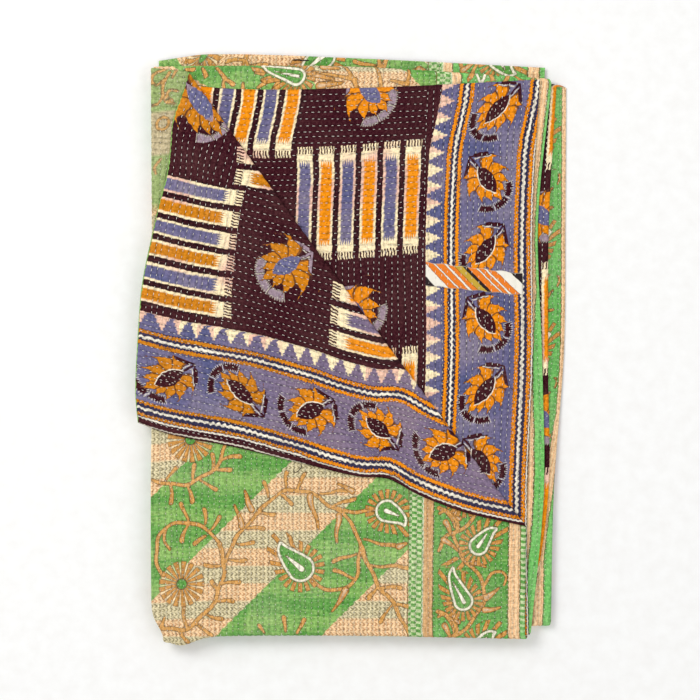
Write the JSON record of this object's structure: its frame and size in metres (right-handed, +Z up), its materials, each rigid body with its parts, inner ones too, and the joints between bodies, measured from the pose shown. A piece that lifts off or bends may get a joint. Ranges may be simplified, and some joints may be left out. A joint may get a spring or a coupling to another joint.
{
  "type": "kantha quilt, folded",
  "caption": "Two-sided quilted cotton throw folded into a flat rectangular packet, with one corner of the top layer turned back and a small sewn-on patch.",
  "frame": {"origin": "under the middle of the folded packet, on the surface that it lies on", "axes": "+X towards the quilt's long hems, away from its lengthwise fold; +Y towards the quilt's ends; +Z up, out of the turned-back corner"},
  "size_m": [0.5396, 0.7404, 0.0315],
  "materials": {
    "green_print": "soft printed cotton, quilted",
    "plum_print": "soft printed cotton, quilted",
    "patch_stripe": "soft printed cotton"
  },
  "bodies": {
    "root": {"green_cloth": "green_print", "plum_cloth": "plum_print", "patch": "patch_stripe"}
  },
  "joints": []
}
